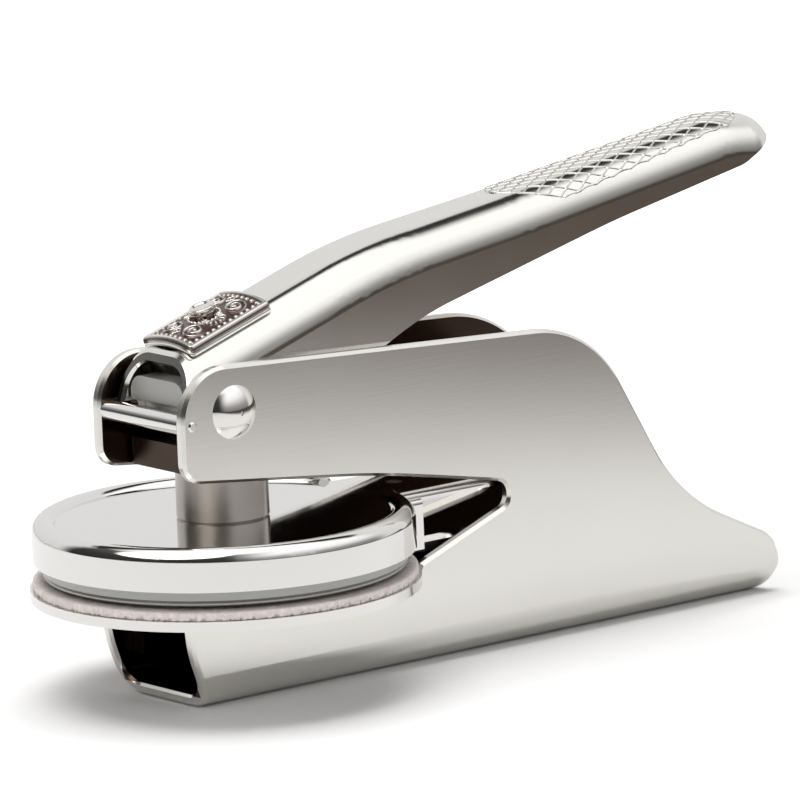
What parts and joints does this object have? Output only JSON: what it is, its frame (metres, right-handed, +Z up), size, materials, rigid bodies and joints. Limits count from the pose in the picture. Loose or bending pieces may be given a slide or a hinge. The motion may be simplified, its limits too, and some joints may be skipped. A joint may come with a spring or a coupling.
{
  "type": "seal embosser",
  "caption": "Desk seal press: folded sheet frame with a deep throat, drawn cam lever, guided plunger and a round sprung die clip with a rolled rim.",
  "frame": {"origin": "on the desk, under the frame's flat web, right below the axis of the round dies", "axes": "+X back along the lever to its tip, +Y across the frame, +Z up"},
  "size_m": [0.1396, 0.0602, 0.076],
  "materials": {
    "satin_nickel": "satin nickel plate",
    "polished_nickel": "polished nickel plate",
    "chrome": "mirror polish",
    "turned_steel": "turned and nickel plated",
    "spring_steel": "oiled spring steel",
    "brass": "machined",
    "die_metal": "dull grey casting",
    "counter_plastic": "rough pressed counter"
  },
  "bodies": {
    "frame": {"frame_shell": "satin_nickel", "pivot_rivet": "chrome", "pivot_washers": "turned_steel", "stop_pin": "turned_steel", "guide_block": "turned_steel", "guide_liner": "brass", "spring_cup": "turned_steel", "counter_die": "counter_plastic", "lower_holder": "chrome", "holder_stud": "turned_steel", "seat_bridge": "turned_steel", "lower_clip_rivets": "turned_steel"},
    "lever": {"lever_handle": "polished_nickel", "cam_block": "turned_steel", "cam_pin": "turned_steel", "name_plate": "polished_nickel", "name_plate_screw": "polished_nickel"},
    "plunger": {"plunger_sleeve": "turned_steel", "plunger_rod": "turned_steel", "rod_nut": "turned_steel", "die_cup": "chrome", "upper_die": "die_metal", "engraved_plate": "die_metal", "clip_spring": "spring_steel", "return_spring": "spring_steel", "upper_clip_rivets": "turned_steel"}
  },
  "joints": [
    {"name": "lever_hinge", "type": "hinge", "parent": "frame", "child": "lever", "pos_m": [-0.0058, 0, 0.0455], "axis": [0, 1, 0], "range_deg": [0, 9], "stiffness_Nm_per_rad": 0.3, "springref_deg": -22.92},
    {"name": "plunger_slide", "type": "slide", "parent": "frame", "child": "plunger", "axis": [0, 0, -1], "range_m": [0, 0.0006], "stiffness_N_per_m": 60, "springref_m": -0.004, "deforming": ["return_spring", "clip_spring"]}
  ],
  "couplings": [
    {"joint": "plunger_slide", "follows": "lever_hinge", "m_per_rad": 0.0038}
  ]
}
